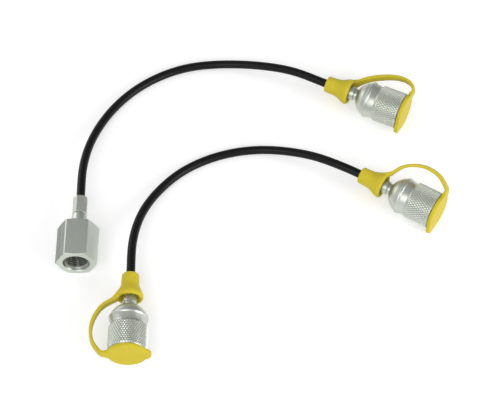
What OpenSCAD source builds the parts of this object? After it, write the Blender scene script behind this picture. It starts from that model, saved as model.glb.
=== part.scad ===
// Pair of hydraulic pressure-test hoses, laid out on a flat surface.
// The gauge hose runs from a G1/4 gauge adapter to an M16x2 screw coupling;
// the link hose has a screw coupling at each end. Every coupling carries a
// moulded boot whose strap holds the dust cap of its union nut.
// Units are millimetres, +Z is up and the fittings rest on Z = 0.

/* [Hose] */
// Outside diameter of the hose
hose_od = 5; // [4.6:0.1:5.6]
// Bore of the hose
hose_bore = 2; // [1.8:0.1:2.4]
// Wall of the inner core tube
core_wall = 0.8; // [0.6:0.05:0.85]
// Thickness of the textile braid
braid_wall = 0.25; // [0.2:0.05:0.3]
// Length of hose held inside each ferrule
hose_grip = 10; // [8:0.5:12]

/* [Ferrules] */
// Wall of the crimped ferrules
ferrule_wall = 1.45; // [1.2:0.05:1.6]
// Thickness of the lip that locks a ferrule into its stem
ferrule_lip = 1.2; // [0.8:0.1:1.6]
// Outside diameter of the gauge ferrule
gauge_ferrule_d = 8.7; // [8.2:0.1:9.2]
// Depth of the crimp flats on that ferrule
crimp_depth = 0.3; // [0.2:0.05:0.4]

/* [Coupling stem] */
// Diameter of the collar between boot and nut
collar_d = 8.2; // [7.8:0.1:8.4]
// Length of that collar
collar_len = 5.9; // [5:0.1:8]
// Diameter of the turned neck in front of the collar
neck_d = 6.8; // [6:0.1:7.2]
// Length of that neck
neck_len = 1.2; // [0.8:0.1:2]
// Diameter of the journal on which the nut turns
journal_d = 8.6; // [8.5:0.05:9]
// Diameter of the head trapped inside the nut
head_d = 13; // [12:0.1:13.2]
// Thickness of that head
head_len = 3.2; // [2.5:0.1:4]
// Diameter of the nose that enters the test point
nose_d = 8; // [7.4:0.1:8.4]
// Length of the nose in front of the head
nose_len = 6.5; // [6:0.1:7.5]
// Thickness of the nose O-ring
o_ring_d = 1.2; // [1:0.1:1.4]
// Diameter of the pin that opens the test point's valve
pin_d = 1.6; // [1.2:0.1:2]
// How far that pin stands out of the nose
pin_reach = 1.5; // [1:0.1:2]

/* [Union nut] */
// Outside diameter over the knurl and the ridge
nut_od = 22; // [21:0.5:24]
// Overall length
nut_len = 28; // [27.5:0.5:32]
// Diameter of the turned land between ridge and knurl
land_d = 19.6; // [19:0.2:20.6]
// Length of the knurled grip
grip_len = 15; // [12:0.5:17]
// Diameter of the rear face
nut_back_d = 10.2; // [9.8:0.1:12]
// Thickness of the rear wall that carries the nut
nut_back_wall = 4.2; // [3.5:0.1:5]
// Core diameter of the M16x2 thread
thread_d = 13.84; // [13.6:0.02:14.2]
// Outer diameter of the M16x2 thread, which its mouth and runout clear
thread_od = 16; // [15.8:0.1:16.2]
// Length of the runout groove behind that thread
runout_len = 2.5; // [2:0.1:3]
// Depth of the plain mouth in front of that thread
mouth_len = 2.8; // [2.4:0.1:3.6]
// How far the nut slides back on the stem
nut_float = 1.2; // [0.6:0.1:1.6]
// Thickness of the snap ring that holds the head in
snap_ring_t = 1; // [0.8:0.1:1.2]

/* [Boot] */
// Diameter of the boot's sleeve
boot_d = 9.8; // [9.6:0.1:11]
// Diameter of the flared skirt
skirt_d = 15.6; // [14:0.2:17]
// Length of the sleeve behind the skirt
sleeve_len = 7.8; // [6:0.2:8.6]
// How much wider the sleeve gets towards the skirt, on the diameter
sleeve_taper = 0.6; // [0:0.1:1]
// Radius of the skirt's rounded lip
skirt_lip_r = 1.5; // [0.9:0.1:1.8]
// How far the skirt reaches over the stem's collar
skirt_reach = 2.7; // [1.5:0.1:3.5]
// Depth of the funnel inside the skirt
skirt_depth = 3.2; // [2:0.2:4]
// Wall behind the ferrule
boot_back_wall = 1.2; // [0.8:0.1:2]

/* [Strap and cap] */
// Width of the strap
strap_w = 5.5; // [4:0.5:6.5]
// Thickness of the strap
strap_t = 2; // [1.4:0.1:2.2]
// Thickness of the cap's disc
cap_t = 2.3; // [2.2:0.1:3]
// Clearance of the cap's plug in the nut's mouth, round it and ahead of it
plug_gap = 0.3; // [0.2:0.05:0.5]
// Taper of the plug over its depth, on the diameter
plug_taper = 1; // [0.8:0.1:1.4]
// Wall of the plug
plug_wall = 1.3; // [1:0.1:2]
// Radius of the pull tab's round end
tab_r = 5; // [4:0.1:5.6]
// How far the pull tab stands out of the disc
tab_reach = 2.3; // [1.5:0.1:2.8]
// Radius of the flares between the disc and the tab
tab_flare = 4; // [2:0.5:6]

/* [Gauge adapter] */
// Width of the hexagon across its flats
hex_af = 21; // [19:0.5:22]
// Length of the hexagon
hex_len = 22; // [20:0.5:26]
// Length of the round collar behind the hexagon
gauge_collar_len = 8.5; // [6:0.5:10]
// Diameter of that collar
gauge_collar_d = 8.9; // [8.2:0.1:9.4]
// Core diameter of the G1/4 gauge thread
port_d = 11.8; // [11.5:0.1:12]
// Outer diameter of the G1/4 gauge thread
port_od = 13.2; // [13:0.1:13.4]
// Diameter of the countersink at the port's mouth
port_mouth_d = 15; // [14:0.2:16]
// Depth of the gauge port
port_depth = 15; // [13:0.5:16]
// Length of the thread runout at the bottom of that port
port_runout_len = 3; // [2.5:0.1:4]
// Thickness of the gauge's sealing ring
seal_t = 1.5; // [1:0.1:2]

/* [Layout] */
// Gauge ferrule's hose end: X and Y
gauge_at = [-100.5, 8]; // [-200:0.5:200]
// Coupling of the gauge hose: X and Y of the boot's hose end
upper_at = [43.8, 91.5]; // [-200:0.5:200]
// Right coupling of the link hose: X and Y of the boot's hose end
right_at = [62, 24.5]; // [-200:0.5:200]
// Front coupling of the link hose: X and Y of the boot's hose end
front_at = [-69.5, -44]; // [-200:0.5:200]

/* [Hidden] */

$fn = 96;

// Clearances: turning and sliding pairs, pressed pairs, layers and loose seats
run_gap = 0.1;
press_gap = 0.02;
layer_gap = 0.05;
seat_gap = 0.2;
hose_gap = 0.1;
// Overlap of a cutting tool past the face that it cuts
cut = 1;

// Heights of the fittings' axes: each lies on its own largest size
coupling_h = nut_od / 2;
gauge_h = hex_af / 2;

// A placed fitting: [x, y, height, heading, boot roll, cap roll, lean of the strap].
// A roll of 0 has the strap on top, and a positive one turns it to the right.
// The lean is how far the strap's bow hangs over towards the cap.
gauge = [gauge_at.x, gauge_at.y, gauge_h, -90, 0, 0, 0];
upper = [upper_at.x, upper_at.y, coupling_h, -25.5, -94, -66, 6];
right = [right_at.x, right_at.y, coupling_h, -31.5, -48, -48, 1.5];
front = [front_at.x, front_at.y, coupling_h, -90, 84, 90, 2];

// Point on a fitting's axis, s mm ahead of its hose end
function on_axis(fitting, s) =
    [fitting[0] + s * cos(fitting[3]), fitting[1] + s * sin(fitting[3]), fitting[2]];

// Stations along a coupling's axis, from the boot's hose end towards the mouth
hose_stop = boot_back_wall + hose_grip;
lip_back = hose_stop + 0.6;
collar_back = lip_back + ferrule_lip + layer_gap;
skirt_front = collar_back + skirt_reach;
collar_front = collar_back + collar_len;
neck_front = collar_front + neck_len;
nut_back = neck_front + 0.8;
head_back = nut_back + nut_back_wall + run_gap;
head_front = head_back + head_len;
ring_back = head_front + nut_float + run_gap;
ring_front = ring_back + snap_ring_t;
nose_front = head_front + nose_len;
thread_back = nose_front + pin_reach + 0.5;
nut_front = nut_back + nut_len;
mouth_back = nut_front - mouth_len;
grip_back = nut_front - grip_len;
cap_back = nut_front + seat_gap;

// Radii that several pieces share
ferrule_bore_r = hose_od / 2 + hose_gap;
ferrule_r = ferrule_bore_r + ferrule_wall;
lock_r = 2.2;
nipple_r = hose_bore / 2 - layer_gap;
flow_r = 0.5;
stem_flow_r = 1;
pin_seat_r = 1.8;
pin_seat_len = 2.5;
relief_r = thread_d / 2 + 0.3;
ring_groove_r = relief_r + 0.4;
mouth_r = thread_od / 2 + run_gap;
cap_r = nut_od / 2;
// Distance of the cap's hinge line from the axis
hinge_r = cap_r + 1.4;

// Free routes of the hoses: on the fittings' axes at both ends, loose between
lead = 3.5;
gauge_route = concat(
    [on_axis(gauge, hose_grip), on_axis(gauge, -lead)],
    [[-100.5, 27.5, 9.8], [-98.5, 44.5, 7.7], [-93.5, 62, 4.8], [-85, 78.5, 3],
     [-73, 92.5, 2.6], [-58.5, 103, 2.6], [-42, 110, 2.6], [-24.5, 112.5, 3],
     [-7, 111, 5], [10, 106.5, 8.3], [26, 100.3, 10.7]],
    [on_axis(upper, -lead), on_axis(upper, hose_stop)]
);
link_route = concat(
    [on_axis(front, hose_stop), on_axis(front, -lead)],
    [[-69.5, -26.5, 10.8], [-68, -12, 9], [-63.5, 4, 6], [-55.5, 18.5, 3.6],
     [-43.5, 31.5, 2.7], [-29, 40.5, 2.6], [-13, 46, 2.7], [4, 47.5, 3.6],
     [21, 44.5, 6], [36.5, 38.5, 9], [49.5, 31.5, 10.8]],
    [on_axis(right, -lead), on_axis(right, hose_stop)]
);

// Sides of the hose tubes, and their radii from the bore outwards
hose_sides = 12;
bore_r = hose_bore / 2 / cos(180 / hose_sides);
core_r = bore_r + core_wall;
braid_r = core_r + layer_gap + braid_wall;
cover_r = hose_od / 2;

function unit(v) = v / norm(v);

// Points on a circle's arc, from angle a0 to angle a1
function arc(centre, r, a0, a1, steps = 5) =
    [for (i = [0:steps])
        let (a = a0 + (a1 - a0) * i / steps)
        centre + r * [cos(a), sin(a)]];

// Points of a bulging edge from p to q, raised by rise in its middle
function bulge(p, q, rise, steps = 6) =
    let (side = unit([q.y - p.y, p.x - q.x]))
    [for (i = [0:steps])
        let (t = i / steps)
        p + (q - p) * t + side * rise * 4 * t * (1 - t)];

// Direction of a route at its point i
function heading(route, i) =
    let (last = len(route) - 1)
    unit(route[min(i + 1, last)] - route[max(i - 1, 0)]);

// Rings of points of radius r around a route
function hose_rings(route, r) =
    [for (i = [0:len(route) - 1])
        let (t = heading(route, i), u = unit(cross(t, [0, 0, 1])), w = cross(u, t))
        for (k = [0:hose_sides - 1])
            let (a = 360 * (k + 0.5) / hose_sides)
            route[i] + r * (cos(a) * u + sin(a) * w)];

// Triangles of the skin between ring i and ring i + 1 of n points each
function skin(first, rings, n, inward) =
    [for (i = [0:rings - 2], k = [0:n - 1])
        let (a = first + i * n + k, b = first + i * n + (k + 1) % n)
        each (inward
            ? [[a, b + n, b], [a, a + n, b + n]]
            : [[a, b, b + n], [a, b + n, a + n]])];

// One layer of a hose, swept along its route
module hose_layer(route, r_in, r_out) {
    rings = len(route);
    n = hose_sides;
    inner = rings * n;
    end = (rings - 1) * n;
    points = concat(hose_rings(route, r_out), hose_rings(route, r_in));
    mouth = [for (k = [0:n - 1])
        let (a = k, b = (k + 1) % n)
        each [[a, inner + b, b], [a, inner + a, inner + b]]];
    tail = [for (k = [0:n - 1])
        let (a = end + k, b = end + (k + 1) % n)
        each [[a, b, inner + b], [a, inner + b, inner + a]]];
    polyhedron(points, concat(
        skin(0, rings, n, false), skin(inner, rings, n, true), mouth, tail));
}

module hose_core(route) {
    color([0.85, 0.85, 0.8])
        hose_layer(route, bore_r, core_r);
}

module hose_braid(route) {
    color([0.8, 0.7, 0.4])
        hose_layer(route, core_r + layer_gap, braid_r);
}

module hose_cover(route) {
    color([0.12, 0.12, 0.13])
        hose_layer(route, braid_r + layer_gap, cover_r);
}

// Puts a fitting modelled along +Z, with its strap side at +X, in its place
module place(fitting, roll) {
    translate([fitting[0], fitting[1], fitting[2]])
        rotate([0, 0, fitting[3]])
            rotate([0, 90, 0])
                rotate([0, 0, 180 + roll])
                    children();
}

// Solid of revolution from [radius, station] points
module turned(points) {
    rotate_extrude()
        polygon(points);
}

// Bored cylinder between two stations
module sleeve(z0, z1, r_in, r_out) {
    turned([[r_in, z0], [r_out, z0], [r_out, z1], [r_in, z1]]);
}

// Ferrule with the lip that grips the stem's lock groove at its front
module ferrule_body(back, stop, r) {
    lip = stop + 0.6;
    front = lip + ferrule_lip;
    turned([
        [ferrule_bore_r, back], [r - 0.3, back], [r, back + 0.3],
        [r, front - 0.2], [r - 0.2, front],
        [lock_r + layer_gap, front], [lock_r + layer_gap, lip], [ferrule_bore_r, lip]
    ]);
}

module ferrule() {
    color([0.72, 0.73, 0.72])
        ferrule_body(boot_back_wall + layer_gap, hose_stop, ferrule_r);
}

// Stem: nipple, lock groove, collar, journal, trapped head and sealing nose
module stem() {
    groove_front = nose_front - 2.1;
    groove_back = groove_front - o_ring_d - 0.3;
    groove_r = nose_d / 2 + 0.15 - o_ring_d - layer_gap;
    pin_seat = nose_front - pin_seat_len;
    color([0.72, 0.73, 0.72])
        turned(concat(
            [[flow_r, boot_back_wall + 0.5], [nipple_r, boot_back_wall + 0.5]],
            [[nipple_r, hose_stop], [lock_r, hose_stop], [lock_r, collar_back]],
            [[collar_d / 2, collar_back], [collar_d / 2, collar_front - 0.6]],
            [[neck_d / 2, collar_front], [neck_d / 2, neck_front]],
            [[journal_d / 2, neck_front + 0.7], [journal_d / 2, head_back]],
            [[head_d / 2 - 0.4, head_back], [head_d / 2, head_back + 0.4]],
            [[head_d / 2, head_front - 0.4], [head_d / 2 - 0.4, head_front]],
            [[nose_d / 2, head_front], [nose_d / 2, groove_back]],
            [[groove_r, groove_back], [groove_r, groove_front]],
            [[nose_d / 2, groove_front], [nose_d / 2, nose_front - 0.6]],
            [[nose_d / 2 - 0.6, nose_front], [pin_seat_r, nose_front]],
            [[pin_seat_r, pin_seat], [stem_flow_r, pin_seat]],
            [[stem_flow_r, hose_stop + 2], [flow_r, hose_stop + 1.5]]
        ));
}

// Round seal that fills the groove near the tip of the nose
module o_ring() {
    centre_r = nose_d / 2 + 0.15 - o_ring_d / 2;
    centre_z = nose_front - 2.25 - o_ring_d / 2;
    color([0.1, 0.1, 0.1])
        rotate_extrude()
            translate([centre_r, centre_z])
                circle(d = o_ring_d, $fn = 24);
}

// Pin on a slotted base, pressed into the tip of the nose
module valve_pin() {
    base_back = nose_front - pin_seat_len;
    base_len = pin_seat_len / 2;
    base_r = pin_seat_r - press_gap;
    slot_w = pin_d / 2;
    color([0.8, 0.8, 0.8])
        difference() {
            union() {
                translate([0, 0, base_back])
                    cylinder(r = base_r, h = base_len, $fn = 32);
                translate([0, 0, base_back])
                    cylinder(d = pin_d, h = pin_seat_len + pin_reach, $fn = 32);
            }
            for (a = [0, 120, 240])
                rotate([0, 0, a])
                    translate([pin_d / 2, -slot_w / 2, base_back - cut])
                        cube([base_r, slot_w, base_len + 2 * cut]);
        }
}

// Open ring that sits in the nut's groove and keeps the head in
module snap_ring() {
    outer_r = ring_groove_r - run_gap;
    inner_r = head_d / 2 - 0.7;
    // Wide enough for the ring to close up and pass the thread
    gap_w = 2 * PI * (outer_r - thread_d / 2) + 0.4;
    color([0.55, 0.56, 0.58])
        difference() {
            sleeve(ring_back, ring_front, inner_r, outer_r);
            translate([0, -gap_w / 2, ring_back - cut])
                cube([outer_r + cut, gap_w, snap_ring_t + 2 * cut]);
        }
}

// Outline of the nut: dome, ridge, land, grip, then the bore from the mouth back
module nut() {
    grip_r = nut_od / 2;
    ridge_back = nut_back + nut_back_wall + 2.2;
    ridge_front = ridge_back + 2;
    dome_r = grip_r - 0.7;
    hole_r = journal_d / 2 + run_gap;
    wall_front = nut_back + nut_back_wall;
    color([0.76, 0.77, 0.76])
        turned(concat(
            [[hole_r, nut_back]],
            bulge([nut_back_d / 2, nut_back], [dome_r, ridge_back - 0.4], 0.5),
            arc([grip_r - 0.5, ridge_back + 0.5], 0.5, -70, 0, 3),
            arc([grip_r - 0.9, ridge_front - 0.9], 0.9, 0, 60, 3),
            [[land_d / 2, grip_back - 0.8]],
            [[grip_r - 0.3, grip_back], [grip_r, grip_back + 0.3]],
            [[grip_r, nut_front - 0.6], [grip_r - 0.6, nut_front]],
            [[mouth_r, nut_front], [mouth_r, mouth_back]],
            [[thread_d / 2, mouth_back - (mouth_r - thread_d / 2)]],
            [[thread_d / 2, thread_back], [mouth_r, thread_back]],
            [[mouth_r, thread_back - runout_len], [relief_r, thread_back - runout_len]],
            [[relief_r, ring_front + run_gap], [ring_groove_r, ring_front + run_gap]],
            [[ring_groove_r, ring_back - run_gap], [relief_r, ring_back - run_gap]],
            [[relief_r, wall_front], [hole_r, wall_front]]
        ));
}

// Boot: sleeve on the ferrule, skirt with a funnel, and the lug of the strap
module boot() {
    sleeve_r = boot_d / 2;
    round_r = 0.9;
    flare_end = [skirt_d / 2 - 0.3, skirt_front - 2 * skirt_lip_r];
    skirt_r = skirt_d / 2;
    hose_hole_r = hose_od / 2 + seat_gap;
    bore_r = ferrule_r + layer_gap;
    color([0.92, 0.82, 0.15])
        union() {
            turned(concat(
                [[hose_hole_r, 0]],
                arc([sleeve_r - round_r, round_r], round_r, -90, 0),
                bulge([sleeve_r + sleeve_taper / 2, sleeve_len], flare_end, -0.3),
                arc([skirt_r - skirt_lip_r, skirt_front - skirt_lip_r], skirt_lip_r, 0, 100, 6),
                [[bore_r, skirt_front - skirt_depth], [bore_r, boot_back_wall]],
                [[hose_hole_r, boot_back_wall]]
            ));
            strap_lug();
        }
}

// Loop of the strap from the boot's lug to the cap, as [radius, station]
strap_loop = [
    [skirt_d / 2 + 0.4, skirt_front + 0.6],
    [skirt_d / 2 + 3.2, skirt_front + 2.2],
    [skirt_d / 2 + 6.9, nut_back - 0.8],
    [nut_od / 2 + 7.3, nut_back + 3.6],
    [nut_od / 2 + 9.6, nut_back + 9.5],
    [nut_od / 2 + 9.8, nut_back + 15.9],
    [nut_od / 2 + 8.1, nut_front - 6],
    [nut_od / 2 + 4.9, nut_front - 1.1],
    [nut_od / 2 + 2.6, nut_front + 1.2],
    [hinge_r, cap_back + cap_t / 2]
];

// That loop with its bow hung over by lean, which also flattens it
function leaning(lean) =
    let (last = len(strap_loop) - 1)
    [for (i = [0:last])
        strap_loop[i] + lean * pow(sin(180 * i / last), 2) * [-0.2, 1]];

// Lug on the skirt: as thick as the strap at its tip, deeper at its foot
module strap_lug() {
    tip = strap_loop[0];
    way = unit(strap_loop[1] - tip);
    side = [-way.y, way.x] * strap_t / 2;
    rotate([90, 0, 0])
        linear_extrude(height = strap_w, center = true)
            polygon([
                tip + side, tip - side,
                [boot_d / 2, skirt_front - 7],
                [ferrule_r + 0.5, skirt_front - 4.5],
                [skirt_d / 2 - 0.7, skirt_front - 0.9]
            ]);
}

// Strap swept along its loop, turning evenly from the boot's roll to the cap's
module strap(fitting) {
    loop = leaning(fitting[6]);
    count = len(loop);
    twist = fitting[5] - fitting[4];
    turn = [for (i = [0:count - 1]) -twist * (1 - i / (count - 1))];
    path = [for (i = [0:count - 1])
        let (p = loop[i])
        [p.x * cos(turn[i]), p.x * sin(turn[i]), p.y]];
    // The first section lies flat on the lug and the last one faces the cap
    start = unit(strap_loop[1] - strap_loop[0]);
    ways = [for (i = [0:count - 1])
        i == 0 ? [start.x * cos(turn[0]), start.x * sin(turn[0]), start.y]
            : i == count - 1 ? [-1, 0, 0] : heading(path, i)];
    corners = [for (i = [0:count - 1])
        let (
            across = [-sin(turn[i]), cos(turn[i]), 0],
            w = unit(across - ways[i] * (across * ways[i])) * strap_w / 2,
            n = cross(unit(w), ways[i]) * strap_t / 2
        )
        each [path[i] + w + n, path[i] - w + n, path[i] - w - n, path[i] + w - n]];
    last = (count - 1) * 4;
    ends = [[0, 2, 1], [0, 3, 2], [last, last + 1, last + 2], [last, last + 2, last + 3]];
    color([0.92, 0.82, 0.15])
        polyhedron(corners, concat(skin(0, count, 4, false), ends));
}

// The same points mirrored about the X axis, in reverse order
function mirrored(points) =
    [for (i = [len(points) - 1:-1:0]) [points[i].x, -points[i].y]];

// Outline of the cap, inset by d: strap root, disc and pull tab flow into each other
function cap_outline(d) =
    let (
        root_x = hinge_r - seat_gap,
        root_y = strap_w / 2,
        root_flare = 2,
        // Angles left free between one arc and the next, so that points don't crowd
        disc_gap = 9,
        tab_gap = 10,
        root_c = [sqrt(pow(cap_r + root_flare, 2) - pow(root_y + root_flare, 2)), root_y + root_flare],
        root_a = atan2(root_c.y, root_c.x),
        tab_x = cap_r + tab_reach - tab_r,
        disc_side = cap_r + tab_flare,
        tab_side = tab_r + tab_flare,
        disc_a = acos((tab_x * tab_x + disc_side * disc_side - tab_side * tab_side)
            / (2 * tab_x * disc_side)),
        tab_c = disc_side * [-cos(disc_a), sin(disc_a)],
        tab_a = atan2(tab_c.y, -tab_c.x - tab_x),
        half = concat(
            [[root_x - d, root_y - d]],
            arc(root_c, root_flare + d, -90, root_a - 180, 4),
            arc([0, 0], cap_r - d, root_a + disc_gap, 180 - disc_gap - disc_a, 14),
            arc(tab_c, tab_flare + d, -disc_a, -tab_a, 4)
        )
    )
    concat(
        half,
        arc([-tab_x, 0], tab_r - d, 180 - tab_gap - tab_a, 180 + tab_gap + tab_a, 10),
        mirrored(half)
    );

// Ring of points at station z: the cap's outline inset by d, or a circle of radius r
function outline_ring(z, d) = [for (p = cap_outline(d)) [p.x, p.y, z]];
function plug_ring(z, r) = [for (p = cap_outline(0)) let (q = r * unit(p)) [q.x, q.y, z]];

// Dust cap in one skin: hollow plug, tapered plug, flat back and rounded front edge
module cap() {
    edge = 0.8;
    front = cap_back + cap_t;
    plug_r = mouth_r - plug_gap;
    plug_back = mouth_back + plug_gap;
    hollow_front = cap_back - 0.2;
    tip_r = plug_r - plug_taper / 2;
    hollow_r = tip_r - plug_wall;
    rings = [
        plug_ring(hollow_front, hollow_r),
        plug_ring(plug_back, hollow_r),
        plug_ring(plug_back, tip_r),
        plug_ring(cap_back, plug_r),
        outline_ring(cap_back, 0.3),
        outline_ring(cap_back + 0.3, 0),
        for (a = [0, 30, 60, 90]) outline_ring(front - edge * (1 - sin(a)), edge * (1 - cos(a)))
    ];
    n = len(rings[0]);
    count = len(rings);
    centre = count * n;
    last = (count - 1) * n;
    points = concat([for (ring = rings) each ring], [[0, 0, hollow_front], [0, 0, front]]);
    floor_faces = [for (k = [0:n - 1]) [centre, k, (k + 1) % n]];
    front_faces = [for (k = [0:n - 1]) [centre + 1, last + (k + 1) % n, last + k]];
    color([0.92, 0.82, 0.15])
        polyhedron(points, concat(skin(0, count, n, true), floor_faces, front_faces));
}

// Gauge ferrule: a stouter sleeve with eight crimp flats along it
module gauge_ferrule() {
    stop = hose_grip;
    front = stop + 0.6 + ferrule_lip;
    flats_r = (gauge_ferrule_d / 2 - crimp_depth) / cos(180 / 8);
    color([0.76, 0.77, 0.76])
        intersection() {
            ferrule_body(0, stop, gauge_ferrule_d / 2);
            rotate([0, 0, 22.5])
                translate([0, 0, -cut])
                    cylinder(r = flats_r, h = front + 2 * cut, $fn = 8);
        }
}

// Gauge adapter: nipple, lock groove, collar, hexagon and threaded port
module gauge_adapter() {
    collar_back_g = hose_grip + 0.6 + ferrule_lip + layer_gap;
    hex_back = collar_back_g + gauge_collar_len;
    hex_front = hex_back + hex_len;
    corner_r = hex_af / 2 / cos(30);
    chamfer_r = hex_af / 2 - 0.3;
    chamfer_len = (corner_r - chamfer_r) * tan(30);
    port_back = hex_front - port_depth;
    mouth_depth = (port_mouth_d - port_d) / 2;
    color([0.76, 0.77, 0.76])
        difference() {
            union() {
                turned([
                    [0, 0.5], [nipple_r, 0.5], [nipple_r, hose_grip],
                    [lock_r, hose_grip], [lock_r, collar_back_g],
                    [gauge_collar_d / 2, collar_back_g],
                    [gauge_collar_d / 2, hex_back + 1], [0, hex_back + 1]
                ]);
                intersection() {
                    translate([0, 0, hex_back])
                        rotate([0, 0, 30])
                            cylinder(r = corner_r, h = hex_len, $fn = 6);
                    turned([
                        [0, hex_back], [chamfer_r, hex_back],
                        [corner_r + 0.1, hex_back + chamfer_len + 0.1],
                        [corner_r + 0.1, hex_front - chamfer_len - 0.1],
                        [chamfer_r, hex_front], [0, hex_front]
                    ]);
                }
            }
            translate([0, 0, -cut])
                cylinder(r = flow_r, h = hex_front, $fn = 32);
            translate([0, 0, hose_grip + 2])
                cylinder(r = stem_flow_r, h = hex_len, $fn = 32);
            translate([0, 0, port_back])
                cylinder(d = port_d, h = port_depth + cut);
            translate([0, 0, port_back])
                cylinder(d = port_od, h = port_runout_len);
            translate([0, 0, hex_front - mouth_depth])
                cylinder(d1 = port_d, d2 = port_mouth_d + 2 * cut, h = mouth_depth + cut);
        }
}

// Sealing ring at the bottom of the gauge port
module gauge_seal() {
    port_back = hose_grip + 0.6 + ferrule_lip + layer_gap + gauge_collar_len + hex_len
        - port_depth;
    color([0.2, 0.2, 0.22])
        sleeve(port_back, port_back + seal_t, port_d / 4, port_d / 2 - seat_gap);
}

hose_core(gauge_route);  // gauge_hose_core
hose_braid(gauge_route);  // gauge_hose_braid
hose_cover(gauge_route);  // gauge_hose_cover
hose_core(link_route);  // link_hose_core
hose_braid(link_route);  // link_hose_braid
hose_cover(link_route);  // link_hose_cover

place(gauge, 0) gauge_adapter();
place(gauge, 0) gauge_ferrule();
place(gauge, 0) gauge_seal();

place(upper, 0) ferrule();  // upper_ferrule
place(upper, 0) stem();  // upper_stem
place(upper, 0) snap_ring();  // upper_snap_ring
place(upper, 0) nut();  // upper_nut
place(upper, 0) o_ring();  // upper_o_ring
place(upper, 0) valve_pin();  // upper_pin
place(upper, upper[4]) boot();  // upper_boot
place(upper, upper[5]) strap(upper);  // upper_strap
place(upper, upper[5]) cap();  // upper_cap

place(right, 0) ferrule();  // right_ferrule
place(right, 0) stem();  // right_stem
place(right, 0) snap_ring();  // right_snap_ring
place(right, 0) nut();  // right_nut
place(right, 0) o_ring();  // right_o_ring
place(right, 0) valve_pin();  // right_pin
place(right, right[4]) boot();  // right_boot
place(right, right[5]) strap(right);  // right_strap
place(right, right[5]) cap();  // right_cap

place(front, 0) ferrule();  // front_ferrule
place(front, 0) stem();  // front_stem
place(front, 0) snap_ring();  // front_snap_ring
place(front, 0) nut();  // front_nut
place(front, 0) o_ring();  // front_o_ring
place(front, 0) valve_pin();  // front_pin
place(front, front[4]) boot();  // front_boot
place(front, front[5]) strap(front);  // front_strap
place(front, front[5]) cap();  // front_cap
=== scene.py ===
# %% [markdown]
# # A pair of pressure-test hoses
# Two thin hydraulic hoses lie on a table. The gauge hose runs from a hexagonal gauge
# adapter to a screw coupling, and the link hose has a screw coupling at each end. Every
# coupling has a knurled union nut, and a soft yellow moulding of three parts in one: a
# boot on the ferrule, a strap, and the dust cap in the nut's mouth.
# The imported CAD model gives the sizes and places. This script dresses it: hidden and
# plainly turned pieces keep their CAD mesh and get a real finish, and the rest is built
# again with the detail that a solid model leaves out.

import math
from collections import namedtuple

import bmesh
import bpy
import numpy as np
from mathutils import Matrix, Vector


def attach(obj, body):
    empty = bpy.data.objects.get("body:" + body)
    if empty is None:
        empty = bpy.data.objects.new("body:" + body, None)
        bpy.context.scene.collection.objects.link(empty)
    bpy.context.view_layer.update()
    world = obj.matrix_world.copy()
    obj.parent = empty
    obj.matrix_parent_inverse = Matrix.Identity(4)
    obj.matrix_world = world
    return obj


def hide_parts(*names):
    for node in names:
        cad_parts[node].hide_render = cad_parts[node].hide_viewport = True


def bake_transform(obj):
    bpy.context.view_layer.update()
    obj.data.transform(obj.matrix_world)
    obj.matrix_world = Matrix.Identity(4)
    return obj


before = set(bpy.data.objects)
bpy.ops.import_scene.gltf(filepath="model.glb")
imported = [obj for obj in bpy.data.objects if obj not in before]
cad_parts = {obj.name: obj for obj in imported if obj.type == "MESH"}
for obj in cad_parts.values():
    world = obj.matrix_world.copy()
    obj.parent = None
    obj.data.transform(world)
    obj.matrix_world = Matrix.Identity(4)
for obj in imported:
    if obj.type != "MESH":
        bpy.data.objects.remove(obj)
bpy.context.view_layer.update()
MM = 0.001


# %% [markdown]
# ## Camera
# A long lens far away keeps round parts round, which is why such goods are shown with one.
# The camera stands in front of the hoses and looks down at them. Its place follows from
# the point that it looks at, its distance and its height angle, so that each can be
# changed alone.

# %% Camera
CAMERA_TARGET = Vector((-2.6, 14.1, 0)) * MM
CAMERA_DISTANCE = 1.0
CAMERA_ELEVATION = math.radians(56)
CAMERA_LENS = 123.1


def in_scene(name, data):
    """A new object in the scene with this camera, lamp or mesh."""
    item = bpy.data.objects.new(name, data)
    bpy.context.scene.collection.objects.link(item)
    return item


camera_data = bpy.data.cameras.new("camera")
camera_data.sensor_width = 36
camera_data.lens = CAMERA_LENS
camera = in_scene("camera", camera_data)
camera.location = CAMERA_TARGET + CAMERA_DISTANCE * Vector(
    (0, -math.cos(CAMERA_ELEVATION), math.sin(CAMERA_ELEVATION)))
camera.rotation_euler = (math.pi / 2 - CAMERA_ELEVATION, 0, 0)
bpy.context.scene.camera = camera
bpy.context.scene.view_settings.view_transform = "Standard"
print("Camera at", [round(v, 3) for v in camera.location])

# %% [markdown]
# ## Where the fittings lie
# Each fitting is made along its own Z axis in millimetres, with its hose end at zero and
# its strap on the side of X. That is how a turner and a mould maker would draw it. One
# matrix then lays it down in the frame, which is in metres. Headings and rolls are in
# degrees, and lean says how many millimetres the strap's bow hangs over towards the cap.

# %% Fittings and their stations
Fitting = namedtuple("Fitting", "name x y height heading boot_roll cap_roll lean")
GAUGE = Fitting("gauge", -100.5, 8, 10.5, -90, 0, 0, 0)
UPPER = Fitting("upper", 43.8, 91.5, 11, -25.5, -94, -66, 6)
RIGHT = Fitting("right", 62, 24.5, 11, -31.5, -48, -48, 1.5)
FRONT = Fitting("front", -69.5, -44, 11, -90, 84, 90, 2)
COUPLINGS = (UPPER, RIGHT, FRONT)

# Stations along a coupling's axis, in mm from the boot's hose end
HOSE_STOP = 11.2
SKIRT_FRONT = 15.75
NUT_BACK = 20.95
RING_BACK, RING_FRONT = 29.75, 30.75
THREAD_BACK, THREAD_FRONT = 36.95, 44.97
MOUTH_BACK = 46.15
NUT_FRONT = 48.95
CAP_BACK = 49.15

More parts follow.
